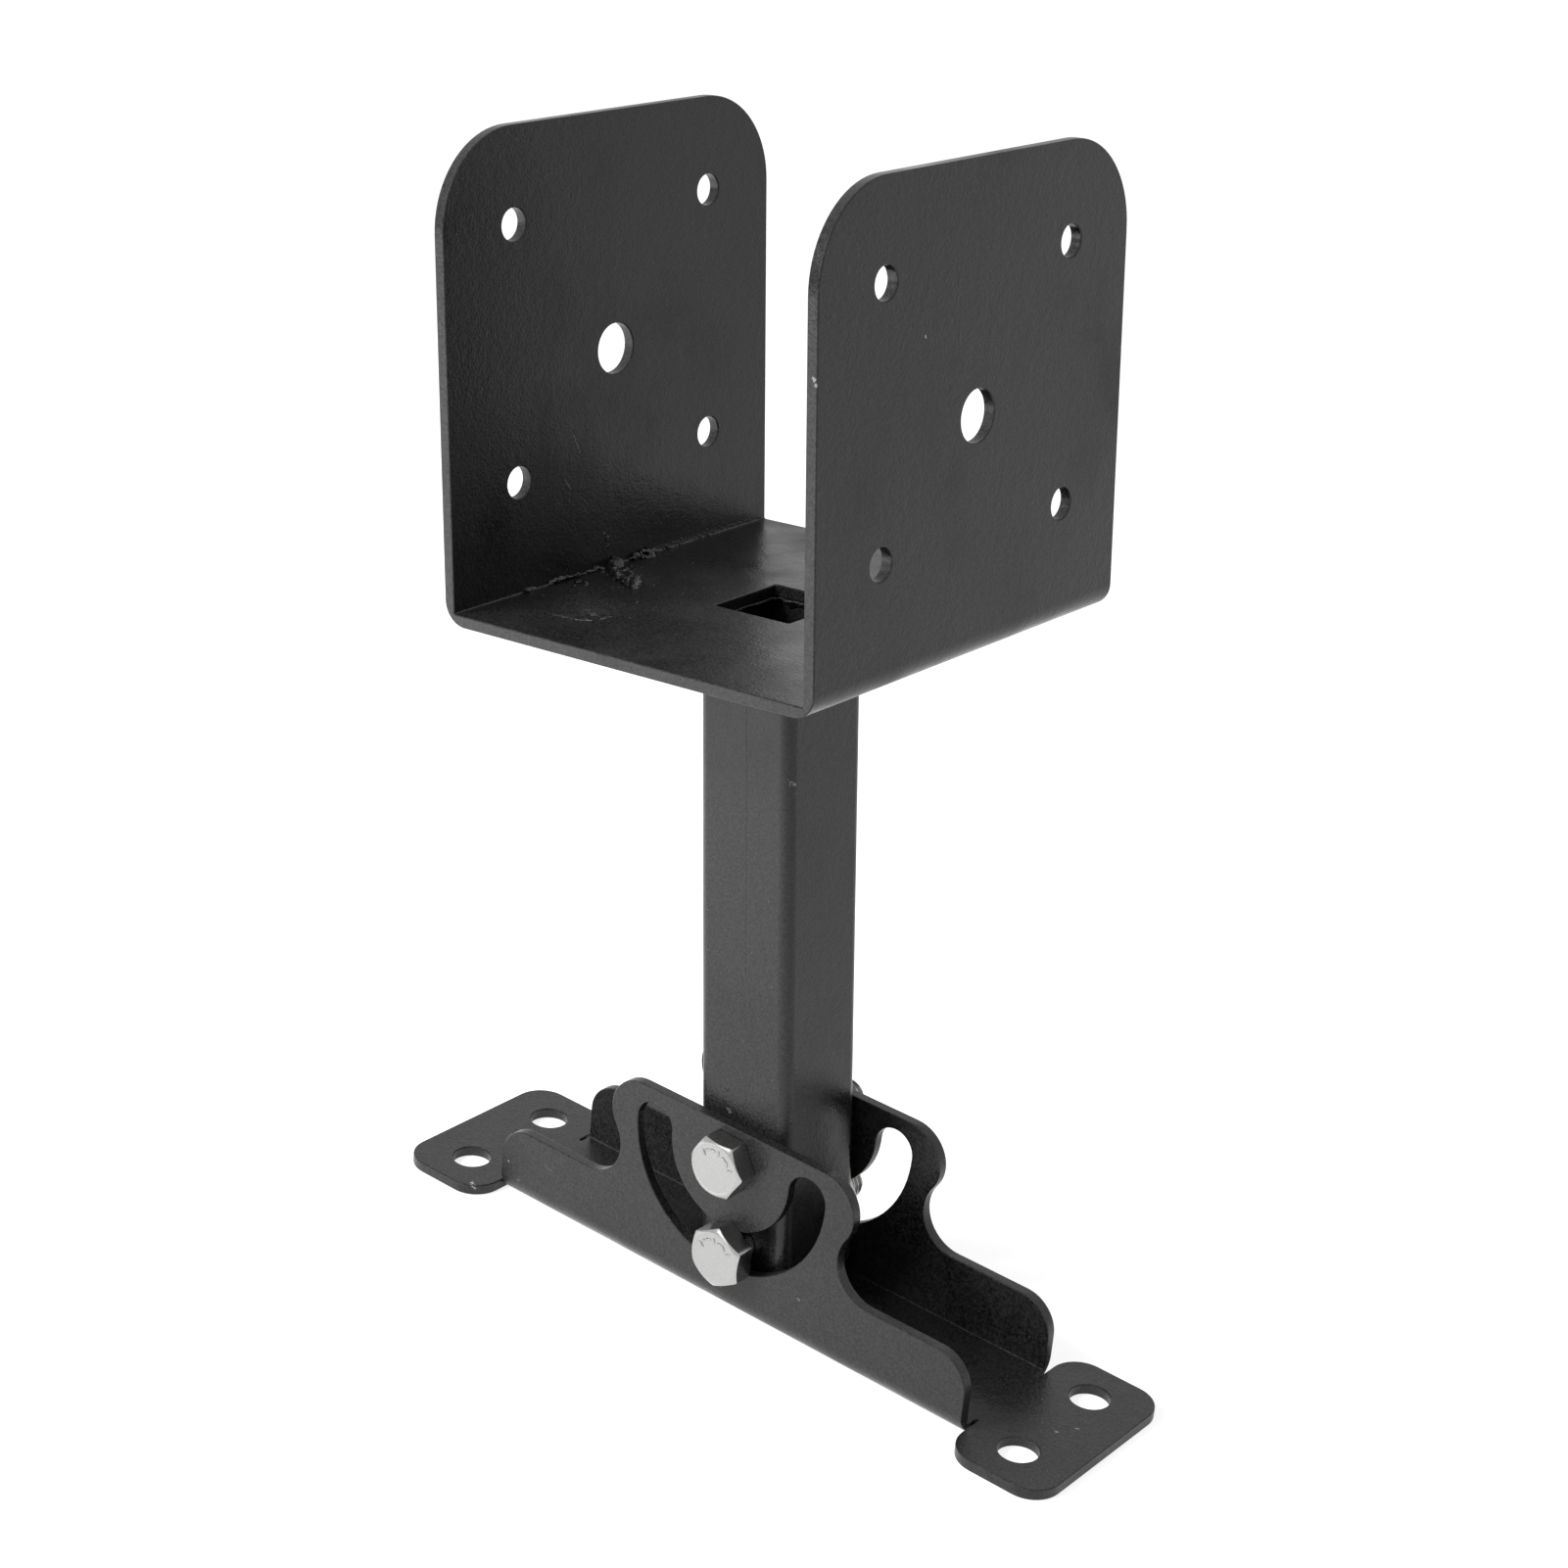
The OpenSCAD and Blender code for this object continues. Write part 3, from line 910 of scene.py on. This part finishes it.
@dataclass
class WeldBead(Piece):
    """A rippled bead of weld round the square tube, made in the riser's own axes.

    Attributes:
        half: Half the width of the square that it runs round.
        corner: Corner radius of that square.
        leg: Leg of the bead.
        outward: 1 for a bead outside the square, -1 for one inside it.
        top: Height of the bead's upper toe.
        ripple: Length of one ripple.
        seed: Seed of its unevenness.
        drift: How much its size drifts along the run, as a share of the leg.
        shake: How much it changes from ripple to ripple, as a share of the leg.
        lumps: Places where the bead swells, each a length run, a reach and a share of the leg.
        step: Distance between two of its rings.
        arc: Steps across its face.
    """

    half: float
    corner: float
    leg: float
    outward: int
    top: float = 120.3
    ripple: float = 1.45
    seed: int = 3
    drift: float = 0.16
    shake: float = 0.07
    lumps: tuple[Point, ...] = ()
    step: float = 0.22
    arc: int = 8

    def path(self) -> list[tuple[Vector, Vector, float]]:
        """Lay out the line that the bead runs along.

        Returns:
            Points on the line, each with its outward direction and the length run so far.
        """
        line: list[tuple[Vector, Vector]] = []
        flat = self.half - self.corner
        for quarter in range(4):
            turn = Matrix.Rotation(math.radians(90.0 * quarter), 3, "Z")
            count = max(int(2.0 * flat / self.step), 2)
            for i in range(count):
                y = -flat + 2.0 * flat * i / count
                line.append((turn @ Vector((self.half, y, 0.0)), turn @ Vector((1.0, 0.0, 0.0))))
            count = max(int(self.corner * math.pi / 2.0 / self.step), 3)
            for i in range(count):
                a = math.pi / 2.0 * i / count
                out = Vector((math.cos(a), math.sin(a), 0.0))
                line.append((turn @ (Vector((flat, flat, 0.0)) + out * self.corner), turn @ out))
        run, laid = 0.0, []
        for i, (point, out) in enumerate(line):
            run += (point - line[i - 1][0]).length if i else 0.0
            laid.append((point, out, run))
        return laid

    def size(self, run: float) -> float:
        """Leg of the bead at a length run, with its ripples, its drift and its lumps.

        Args:
            run: The length run so far.

        Returns:
            The leg there.
        """
        wave = (run / self.ripple) % 1.0
        swell = 0.1 * (1.0 - wave) * math.sin(math.pi * min(wave * 3.0, 1.0))
        drift = noise.noise(Vector((run * 0.35, self.seed, 0.0))) * self.drift
        shake = noise.noise(Vector((run * 1.6, self.seed, 4.0))) * self.shake
        lump = sum(gain * math.exp(-(((run - at) / reach) ** 2)) for at, reach, gain in self.lumps)
        return self.leg * (0.92 + swell + drift + shake + lump)

    def form(self) -> None:
        """Make the bead as one closed run of rings, each from toe to toe and back under the metal."""
        toe_flare, overlap = 1.25, 0.05
        down = Vector((0.0, 0.0, -1.0))
        rings = []
        for point, out, run in self.path():
            size, side = self.size(run), out * self.outward
            toe = point + Vector((0.0, 0.0, self.top))
            ring = []
            for k in range(self.arc + 1):
                a = math.pi / 2.0 * k / self.arc
                bulge = 0.8 + 0.1 * math.sin(2.0 * a) + 0.035 * math.sin(run * 4.3 / self.ripple + 5.0 * a)
                flare = 1.0 if 0 < k < self.arc else toe_flare
                reach = size * bulge / max(math.cos(a) + math.sin(a), 1.0) * flare
                ring.append(toe + side * reach * math.cos(a) + down * reach * math.sin(a))
            ring.append(toe - side * overlap)
            rings.append(ring if self.outward > 0 else ring[::-1])
        self.rings(rings, loop=True)


# Swellings and dips of the inner bead: length run, reach and share of the leg
INNER_LUMPS = ((40.4, 1.2, 0.45), (36.4, 1.0, 0.4), (46.5, 1.2, 0.28), (51.5, 1.4, -0.25), (30.5, 1.4, -0.15))

# Drops at places of their own: X, Y, height above the floor, radii, unevenness and turn about Z
PLACED_DROPS = (
    (LEFT + 0.9, 7.6, 0.0, (1.4, 2.2, 0.35), 0.9, 0.0),
    (LEFT + 0.5, 5.0, 0.8, (0.7, 0.9, 0.9), 0.7, 0.0),
    (LEFT + 0.3, 11.4, 0.5, (0.5, 0.8, 0.4), 0.7, 0.0),
    (LEFT, -3.7, 6.2, (0.22, 0.6, 0.8), 0.8, 0.0),
    (LEFT, -3.2, 4.6, (0.26, 0.5, 0.6), 0.8, 0.0),
    (LEFT, -4.5, 7.5, (0.16, 0.4, 0.5), 0.8, 0.0),
    (-43.0, -16.2, 0.0, (0.9, 0.7, 0.4), 0.4, 20.0),
    (-41.5, -15.6, 0.0, (1.1, 0.6, 0.5), 0.4, -10.0),
    (-40.3, -16.7, 0.0, (0.8, 0.7, 0.4), 0.4, 40.0),
    (-25.2, -31.0, 0.0, (1.3, 0.8, 0.28), 0.3, -30.0),
    (-23.2, -35.9, 0.0, (1.3, 0.35, 0.24), 0.3, 20.0),
    (-20.7, -31.0, 0.0, (0.35, 0.7, 0.24), 0.3, 0.0),
)

# Lumps of the splash: X and Y from its end at the bend or on the floor, and radii
BEND_LUMPS = ((0.0, 0.0, (2.1, 1.6, 1.5)), (-0.9, 1.6, (1.3, 1.5, 2.1)), (1.8, -1.7, (1.5, 1.0, 1.1)))
FLOOR_LUMPS = ((0.0, 0.0, (1.5, 1.1, 1.2)), (1.2, -1.4, (1.1, 0.8, 0.9)), (-1.2, 1.2, (1.4, 1.0, 0.9)))


@dataclass
class Spatter(Piece):
    """The splash of weld metal in the saddle's left bend and the drops near it, in the riser's own axes.

    Attributes:
        start: X and Y of the splash's end at the bend.
        end: X and Y of its end on the floor.
        voxel: Size of the cells that melt the drops into one skin.
        rows: Steps from pole to pole of one drop.
        chooser: The source of the drops' places and sizes.
        count: How many drops there are so far.
    """

    start: Pair = (-44.6, -2.9)
    end: Pair = (-32.4, -9.9)
    voxel: float = 0.16
    rows: int = 12
    chooser: random.Random = field(default_factory=lambda: random.Random(11))
    count: int = 0

    def drop(self, x: float, y: float, lift: float, radius: Point, rough: float, yaw: float = 0.0) -> None:
        """Add one drop.

        Args:
            x: X of its middle.
            y: Y of its middle.
            lift: Height of its middle above the saddle's floor.
            radius: Its radii along X, Y and Z.
            rough: How uneven it is, as a share of its radius.
            yaw: Turn about Z in degrees.
        """
        half = Matrix.Rotation(math.radians(yaw), 3, "Z") @ Matrix.Diagonal(radius)
        self.ellipsoid(Vector((x, y, FLOOR + lift)), half, self.rows, rough, self.count * 3.1)
        self.count += 1

    def splash(self) -> None:
        """Add the long splash: a rim on both sides, a hollow between, loose drops and lumps at each end."""
        rim_drops, bed_drops, loose_drops = 17, 14, 26
        draw = self.chooser.uniform
        a, b = Vector(self.start), Vector(self.end)
        along = (b - a).normalized()
        across = Vector((-along.y, along.x))
        yaw = math.degrees(math.atan2(along.y, along.x))
        for side, reach, low in ((-1.0, 1.0, 0.9), (1.0, 1.3, 0.6)):
            for i in range(rim_drops):
                t = i / (rim_drops - 1.0) + draw(-0.02, 0.02)
                bow = math.sin(math.pi * min(max(t, 0.0), 1.0)) ** 0.6
                spot = a.lerp(b, t) + across * side * (0.35 + reach * bow * draw(0.6, 1.35))
                size = draw(0.55, 1.15)
                radius = (size * 1.2, size, low * draw(0.5, 1.5))
                self.drop(spot.x, spot.y, 0.0, radius, 0.8, yaw + side * 20.0)
        for i in range(bed_drops):
            spot = a.lerp(b, i / (bed_drops - 1.0)) + across * draw(-0.9, 0.9)
            self.drop(spot.x, spot.y, 0.0, (1.0, 0.8, draw(0.15, 0.34)), 0.9, yaw)
        for _ in range(loose_drops):
            t = draw(-0.1, 1.1)
            off = draw(1.8, 4.2) * self.chooser.choice((-1.0, 1.0, 1.0))
            spot = a.lerp(b, t) + across * off
            size = draw(0.16, 0.36)
            if spot.x > LEFT + 0.4:
                self.drop(spot.x, spot.y, 0.0, (size * 1.4, size, size * 0.7), 0.6, yaw)
        for point, lumps in ((a, BEND_LUMPS), (b, FLOOR_LUMPS)):
            for x, y, radius in lumps:
                self.drop(point.x + x, point.y + y, 0.0, radius, 0.8, yaw)

    def crater(self) -> None:
        """Add the ring of drops round the small crater in the bend, behind the splash."""
        count, middle = 8, 7.9
        for i in range(count):
            a = FULL_TURN * i / count + self.chooser.uniform(-0.3, 0.3)
            x, y = LEFT + 0.4 + 0.7 * (1.0 - math.sin(a)), middle + 1.7 * math.cos(a)
            size = self.chooser.uniform(0.45, 1.0)
            self.drop(x, y, 0.7 + 0.55 * math.sin(a), (size * 0.7, size, size * 0.7), 0.8)

    def strewn(self) -> None:
        """Add the line of small drops along the bend, thicker at its near end, and specks on the floor."""
        draw = self.chooser.uniform
        y, line_end, thick_end, specks = -29.0, 30.0, -4.5, 30
        while y < line_end:
            near = y < thick_end
            size = draw(0.2, 0.55) if near else draw(0.12, 0.26)
            lift = draw(0.0, 0.7) if near else draw(0.1, 0.4)
            if self.chooser.random() < (0.7 if near else 0.5):
                self.drop(LEFT + 0.15, y, lift, (size, size * draw(1.2, 2.6), size), 0.8)
            y += draw(0.4, 1.1)
        for _ in range(specks):
            x, y = draw(-44.0, -14.0), draw(-32.0, 12.0)
            size = draw(0.2, 0.34)
            self.drop(x, y, 0.0, (size, size, size * 0.7), 0.2)

    def form(self) -> None:
        """Make all the drops, whose order sets their unevenness."""
        self.splash()
        self.crater()
        for placed in PLACED_DROPS:
            self.drop(*placed)
        self.strewn()

    def refine(self, made: Object) -> None:
        """Melt the drops into one skin.

        Args:
            made: The new object.
        """
        melt = {"mode": "VOXEL", "voxel_size": self.voxel * MM, "use_smooth_shade": True}
        add_modifier(made, "melted_skin", "REMESH", **melt)
        add_modifier(made, "calmed_skin", "SMOOTH", factor=0.5, iterations=2)


@dataclass(frozen=True)
class Lamp:
    """One soft area lamp, which the camera doesn't see.

    Attributes:
        name: The lamp's name.
        at: Where it hangs, in metres.
        aim: The point it faces, in metres.
        size: Its width and height in metres.
        power: Its power in watts.
        mirrored: Whether it is seen itself in the metal and the coat.
    """

    name: str
    at: Point
    aim: Point
    size: Pair
    power: float
    mirrored: bool

    def hang(self) -> None:
        """Add the lamp to the scene."""
        data = bpy.data.lights.new(self.name, "AREA")
        data.shape = "RECTANGLE"
        data.size, data.size_y = self.size
        data.energy = self.power
        lamp = add_object(self.name, data)
        lamp.location = self.at
        lamp.rotation_mode = "QUATERNION"
        lamp.rotation_quaternion = (Vector(self.aim) - Vector(self.at)).to_track_quat("-Z", "Y")
        lamp.visible_camera = False
        lamp.visible_glossy = self.mirrored


LAMPS = (
    Lamp("key_lamp", (-0.45, -0.62, 0.6), (-0.4, -0.54, 0.0), (0.45, 0.45), 21.5, mirrored=False),
    Lamp("soft_box", (-0.2, -0.85, 0.62), (0.0, 0.0, 0.04), (0.7, 0.35), 2.3, mirrored=True),
)


@dataclass
class Studio:
    """The white floor, the white surroundings, the lamps and the camera.

    Attributes:
        azimuth: The camera's azimuth in degrees, 0 looking along +Y.
        elevation: Its elevation in degrees.
        roll: Its roll in degrees.
        distance: Its distance from the target in millimetres.
        target: The point it turns about, in millimetres.
        focal: Focal length as a multiple of the frame's width.
        centre: The lens's axis in the frame, as shares of its width and height from the top left.
        sensor: Width of the sensor in millimetres.
        sky: Strength of the surroundings as a light.
        floor_tone: Grey of the floor.
        floor_glow: What the floor adds to reach white where it is seen.
        floor_half: Half the floor's width in metres.
        floor_drop: How far the floor lies below the bracket, in metres.
    """

    azimuth: float = 37.487
    elevation: float = 22.754
    roll: float = 5.045
    distance: float = 631.6
    target: Point = (-4.676, -3.586, 131.714)
    focal: float = 3073.4 / 1601.0
    centre: Pair = (801.88 / 1601.0, 759.78 / 1601.0)
    sensor: float = 36.0
    sky: float = 0.45
    floor_tone: float = 0.5
    floor_glow: float = 0.78
    floor_half: float = 8.0
    floor_drop: float = 0.0002

    def camera(self) -> None:
        """Set the camera up at the photograph's view."""
        a, e, r = (math.radians(v) for v in (self.azimuth, self.elevation, self.roll))
        back = Vector((math.sin(a) * math.cos(e), -math.cos(a) * math.cos(e), math.sin(e)))
        right = Vector((math.cos(a), math.sin(a), 0.0))
        up = back.cross(right)
        right, up = right * math.cos(r) + up * math.sin(r), up * math.cos(r) - right * math.sin(r)
        data = bpy.data.cameras.new("camera")
        data.sensor_fit = "HORIZONTAL"
        data.sensor_width = self.sensor
        data.lens = self.focal * self.sensor
        data.shift_x = 0.5 - self.centre[0]
        data.shift_y = self.centre[1] - 0.5
        data.clip_start, data.clip_end = 0.01, 60.0
        camera = add_object("camera", data)
        place = (Vector(self.target) + back * self.distance) * MM
        camera.matrix_world = Matrix.Translation(place) @ Matrix((right, up, back)).transposed().to_4x4()
        bpy.context.scene.camera = camera

    @staticmethod
    def seen_rays(graph: Graph) -> Socket:
        """Mask of the rays that show the background: those of the camera, of reflections and of glass.

        Args:
            graph: The graph that the nodes are added to.

        Returns:
            1 for such a ray, 0 for any other.
        """
        path = graph.add("LightPath")
        seen = graph.math("MAXIMUM", path.outputs["Is Camera Ray"], path.outputs["Is Glossy Ray"])
        return graph.math("MAXIMUM", seen, path.outputs["Is Transmission Ray"])

    def world(self) -> None:
        """Make the surroundings: white where they are seen, and a plain soft light elsewhere."""
        world = bpy.data.worlds.new("studio")
        world.use_nodes = True
        bpy.context.scene.world = world
        graph = Graph(world.node_tree)
        strength = graph.span(self.seen_rays(graph), 0.0, 1.0, self.sky, 1.0)
        shell = graph.add("Background", Color=grey(1.0), Strength=strength)
        graph.add("OutputWorld", Surface=shell.outputs[0])

    def floor(self) -> None:
        """Make the white floor, which keeps the bracket's shadow and isn't seen from below."""
        mesh = bpy.data.meshes.new("floor")
        half, level = self.floor_half, -self.floor_drop
        points = [(-half, -half, level), (half, -half, level), (half, half, level), (-half, half, level)]
        mesh.from_pydata(points, [], [(0, 1, 2, 3)])
        material = bpy.data.materials.new("white_floor")
        material.use_nodes = True
        graph = Graph(material.node_tree)
        matt = graph.add("BsdfDiffuse", Color=grey(self.floor_tone)).outputs[0]
        glow = graph.add("Emission", Color=grey(1.0), Strength=self.floor_glow).outputs[0]
        lit = graph.add("AddShader", None, matt, glow).outputs[0]
        shown = graph.add("MixShader", None, self.seen_rays(graph), matt, lit).outputs[0]
        below = graph.add("NewGeometry").outputs["Backfacing"]
        clear = graph.add("BsdfTransparent").outputs[0]
        under = graph.add("MixShader", None, below, shown, clear).outputs[0]
        graph.add("OutputMaterial", Surface=under)
        mesh.materials.append(material)
        add_object("floor", mesh)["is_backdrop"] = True

    def make(self) -> None:
        """Set up the floor, the surroundings, the lamps, the camera and the view transform."""
        self.floor()
        self.world()
        for lamp in LAMPS:
            lamp.hang()
        self.camera()
        bpy.context.scene.view_settings.view_transform = "Standard"


def make_fasteners(axes: Riser, effects: Effects) -> None:
    """Make the pivot and the clamp, each a bolt with its nut, seated on the channel's near and far faces.

    Args:
        axes: The riser's own axes.
        effects: The shared node groups.
    """
    zinc = ZINC_PLATE.material("zinc_of_fasteners", effects)
    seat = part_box("pivot_bolt")[0].y / MM + HexForm.height
    near = Matrix.Translation((0.0, seat, 0.0))
    far = Matrix.Translation((0.0, -seat, 0.0)) @ Matrix.Rotation(math.pi, 4, "Z")
    pivot = Matrix.Translation((0.0, 0.0, axes.pivot_height))
    clamp = axes.matrix @ Matrix.Translation((0.0, 0.0, CLAMP_HEIGHT))
    for part, where, body, turn, marks_from in (
        ("pivot", pivot, Body.BASE, -1.5, 18.0),
        ("clamp", clamp, Body.RISER, 22.5, 30.0),
    ):
        bolt = HexBolt(f"{part}_bolt_threaded", f"{part}_bolt", body, Slot.ZINC, turn, marks_from=marks_from)
        bolt.make(where @ near, zinc)
        nut = HexNut(f"{part}_nut_threaded", f"{part}_nut", body, Slot.ZINC, turn=0.0)
        nut.make(where @ far, zinc)


def make_welds(axes: Riser, effects: Effects) -> None:
    """Make the bead under the saddle, the bead inside its window and the spatter in its bend.

    Args:
        axes: The riser's own axes.
        effects: The shared node groups.
    """
    coat = WELD_COAT.material("coat_of_welds", effects, axes)
    on = (Body.RISER, Slot.COAT)
    outer = WeldBead("outer_weld_bead", "outer_weld", *on, half=12.5, corner=2.8, leg=2.4, outward=1)
    outer.make(axes.matrix, coat)
    inner = WeldBead(
        "inner_weld_bead", "inner_weld", *on, half=10.5, corner=0.8, leg=1.6, outward=-1,
        ripple=1.3, seed=8, drift=0.5, shake=0.22, lumps=INNER_LUMPS,
    )
    inner.make(axes.matrix, coat)
    spatter = Spatter("weld_spatter", None, *on)
    spatter.make(axes.matrix, SPATTER_COAT.material("coat_of_spatter", effects, axes))


def main(frame: dict, cad_box: tuple[Vector, Vector]) -> None:
    """Build the looks round the frame.

    Args:
        cad_box: The CAD model's box; not used.
    """
    logging.basicConfig(level=logging.INFO, format="%(name)s: %(message)s")
    axes = Riser.from_record(frame["record"])
    effects = Effects()
    SheetMetal(frame["nodes"], effects, axes).make()
    make_fasteners(axes, effects)
    make_welds(axes, effects)
    Studio().make()


if __name__ == "__main__":
    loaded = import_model()
    main(loaded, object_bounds())
